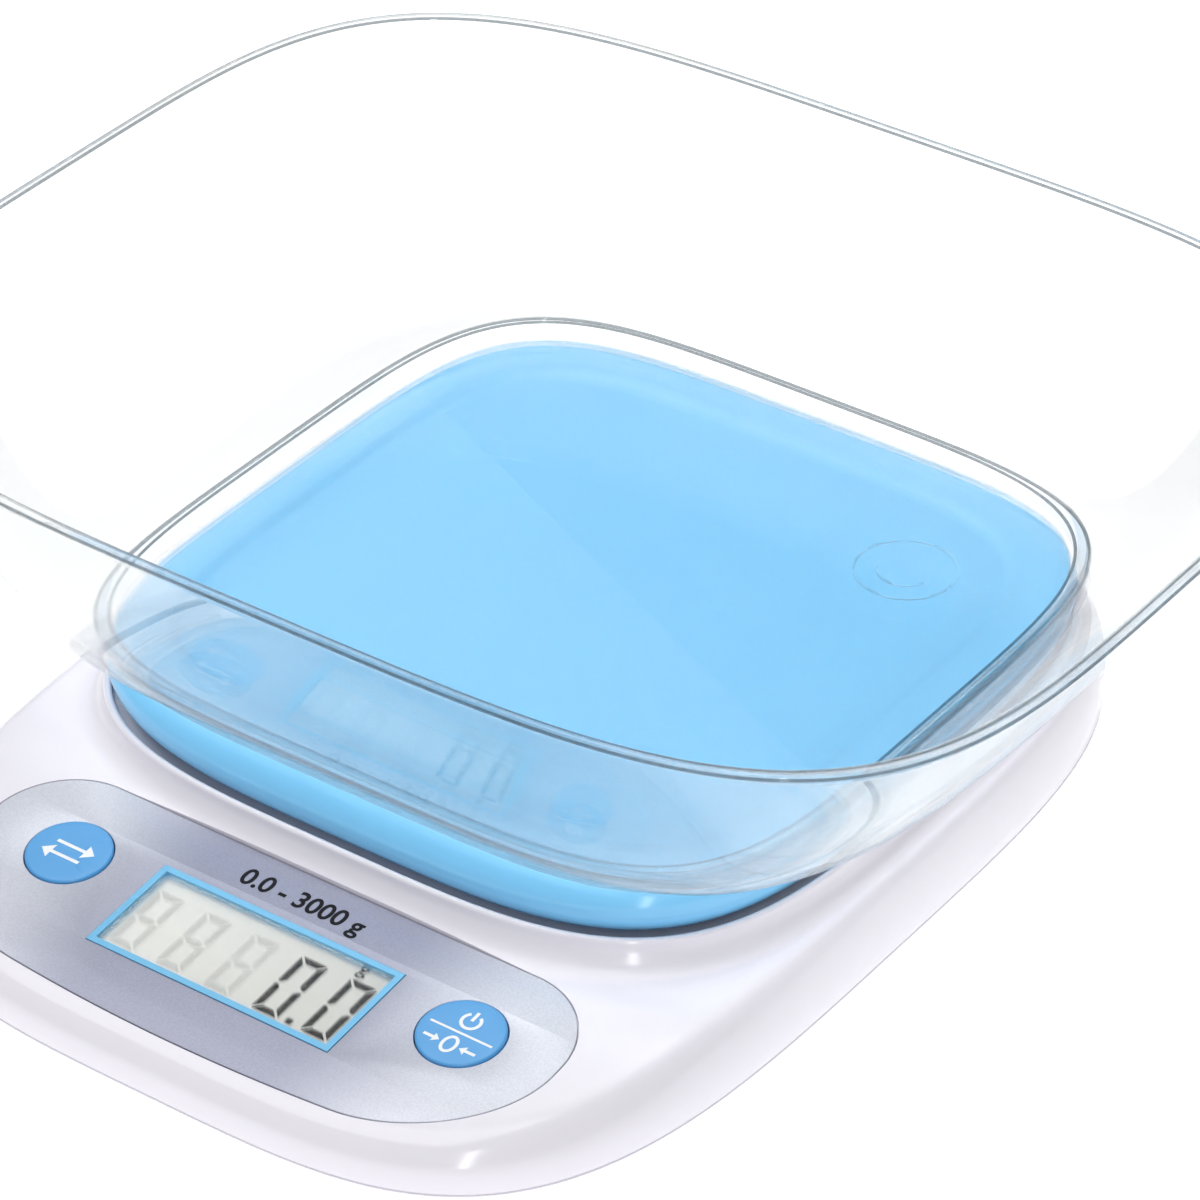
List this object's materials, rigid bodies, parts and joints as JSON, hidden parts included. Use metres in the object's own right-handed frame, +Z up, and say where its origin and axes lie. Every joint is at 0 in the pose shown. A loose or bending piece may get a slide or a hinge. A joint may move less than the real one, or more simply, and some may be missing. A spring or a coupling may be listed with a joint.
{
  "type": "digital gram scale",
  "caption": "Digital gram scale: clear lift-off bowl on a square weighing platform, tilted display panel with two push keys, battery door below.",
  "frame": {"origin": "on the table, under the middle of the whole object with its bowl on", "axes": "+Z up, -Y towards the user and the control panel, +X to the user's right, across the wide way of the bowl"},
  "size_m": [0.216, 0.2046, 0.0834],
  "materials": {
    "clear_bowl": "clear moulded styrene acrylonitrile, polished",
    "blue_platform": "glossy moulded ABS",
    "white_housing": "glossy moulded ABS",
    "white_base": "fine textured moulded ABS",
    "silver_overlay": "printed polycarbonate overlay",
    "blue_border": "printed border",
    "clear_window": "clear acrylic window",
    "lcd": "reflective segment display",
    "reflector": "brushed foil",
    "zebra_rubber": "striped elastomer",
    "holder_plastic": "moulded ABS",
    "key_blue": "glossy moulded ABS",
    "switch_black": "moulded nylon",
    "board_green": "solder mask over laminate",
    "chip_black": "epoxy blob",
    "plated_steel": "zinc plated",
    "component_tan": "ceramic chip parts",
    "beam_aluminium": "machined",
    "gauge_foil": "etched foil",
    "gauge_coating": "silicone coating",
    "carrier_plastic": "moulded ABS",
    "grey_rubber": "moulded rubber",
    "cell_jacket": "printed steel can",
    "spring_steel": "nickel plated",
    "wire_red": "PVC insulated",
    "wire_mixed": "PVC insulated"
  },
  "bodies": {
    "housing": {"upper_housing": "white_housing", "lower_housing": "white_base", "control_panel": "silver_overlay", "display_bezel": "blue_border", "display_window": "clear_window", "lcd_glass": "lcd", "lcd_reflector": "reflector", "zebra_strips": "zebra_rubber", "lcd_holder": "holder_plastic", "unit_switch": "plated_steel", "tare_switch": "plated_steel", "main_pcb": "board_green", "controller_chip": "chip_black", "crystal": "plated_steel", "capacitors": "component_tan", "pcb_screws": "plated_steel", "load_cell": "beam_aluminium", "strain_gauges": "gauge_foil", "gauge_coating": "gauge_coating", "base_spacer": "plated_steel", "base_screws": "plated_steel", "overload_screw": "plated_steel", "housing_screws": "plated_steel", "foot_front_left": "grey_rubber", "foot_front_right": "grey_rubber", "foot_back_left": "grey_rubber", "foot_back_right": "grey_rubber", "battery_left": "cell_jacket", "battery_right": "cell_jacket", "battery_springs": "spring_steel", "positive_contact": "spring_steel", "negative_contact": "spring_steel", "bridge_contact": "spring_steel", "battery_wires": "wire_red", "load_cell_wires": "wire_mixed"},
    "weighing_platform": {"platform": "blue_platform", "platform_carrier": "carrier_plastic", "carrier_screws": "plated_steel", "top_spacer": "plated_steel"},
    "lift_off_bowl": {"bowl": "clear_bowl"},
    "unit_button": {"unit_key": "key_blue", "unit_plunger": "switch_black"},
    "tare_button": {"tare_key": "key_blue", "tare_plunger": "switch_black"},
    "door": {"battery_door": "white_base"}
  },
  "joints": [
    {"name": "platform_press", "type": "slide", "parent": "housing", "child": "weighing_platform", "axis": [0, 0, -1], "range_m": [0, 0.0005], "stiffness_N_per_m": 60000, "deforming": ["load_cell", "strain_gauges", "gauge_coating"]},
    {"name": "bowl_lift", "type": "slide", "parent": "weighing_platform", "child": "lift_off_bowl", "axis": [0, 0, 1], "range_m": [0, 0.06]},
    {"name": "unit_key_press", "type": "slide", "parent": "housing", "child": "unit_button", "axis": [0, 0.1097, -0.994], "range_m": [0, 0.0003], "stiffness_N_per_m": 6000},
    {"name": "tare_key_press", "type": "slide", "parent": "housing", "child": "tare_button", "axis": [0, 0.1097, -0.994], "range_m": [0, 0.0003], "stiffness_N_per_m": 6000},
    {"name": "battery_door_hinge", "type": "hinge", "parent": "housing", "child": "door", "pos_m": [0.036, 0.04115, 0.0059], "axis": [1, 0, 0], "range_deg": [0, 80]}
  ]
}
